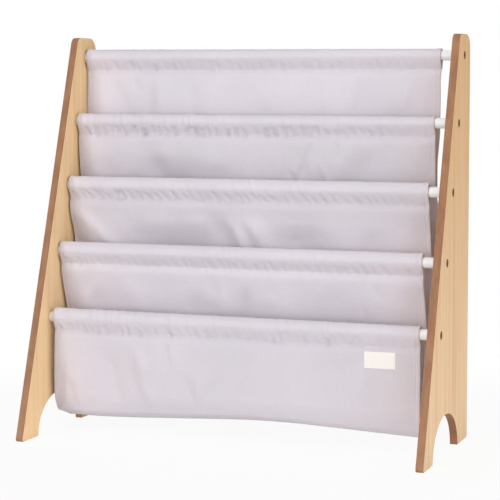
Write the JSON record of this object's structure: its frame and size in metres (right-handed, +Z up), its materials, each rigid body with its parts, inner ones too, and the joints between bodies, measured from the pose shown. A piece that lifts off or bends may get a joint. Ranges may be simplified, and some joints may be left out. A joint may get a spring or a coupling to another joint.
{
  "type": "sling bookshelf",
  "caption": "Child's sling bookshelf: two leaning board side panels joined by round rods, with a cloth sling hung from the rods in sagging pockets for books.",
  "frame": {"origin": "on the floor, under the middle of the bounding box", "axes": "+X to the right seen from the front, +Y to the back, +Z up"},
  "size_m": [0.629, 0.2684, 0.61],
  "materials": {
    "board": "pale oak veneer, satin",
    "rod_paint": "white paint, satin",
    "bolt_bronze": "dark bronze plating",
    "insert_zinc": "zinc plating",
    "cloth": "smooth plain weave, pale grey",
    "label_tape": "woven tape, bare"
  },
  "bodies": {
    "root": {"panel_right": "board", "panel_left": "board", "rod_1": "rod_paint", "bolt_right_1": "bolt_bronze", "bolt_left_1": "bolt_bronze", "insert_right_1": "insert_zinc", "insert_left_1": "insert_zinc", "rod_2": "rod_paint", "bolt_right_2": "bolt_bronze", "bolt_left_2": "bolt_bronze", "insert_right_2": "insert_zinc", "insert_left_2": "insert_zinc", "rod_3": "rod_paint", "bolt_right_3": "bolt_bronze", "bolt_left_3": "bolt_bronze", "insert_right_3": "insert_zinc", "insert_left_3": "insert_zinc", "rod_4": "rod_paint", "bolt_right_4": "bolt_bronze", "bolt_left_4": "bolt_bronze", "insert_right_4": "insert_zinc", "insert_left_4": "insert_zinc", "rod_5": "rod_paint", "bolt_right_5": "bolt_bronze", "bolt_left_5": "bolt_bronze", "insert_right_5": "insert_zinc", "insert_left_5": "insert_zinc", "sleeve_1": "cloth", "sleeve_2": "cloth", "sleeve_3": "cloth", "sleeve_4": "cloth", "sleeve_5": "cloth", "pocket_1": "cloth", "pocket_2": "cloth", "pocket_3": "cloth", "pocket_4": "cloth", "label": "label_tape"}
  },
  "joints": []
}
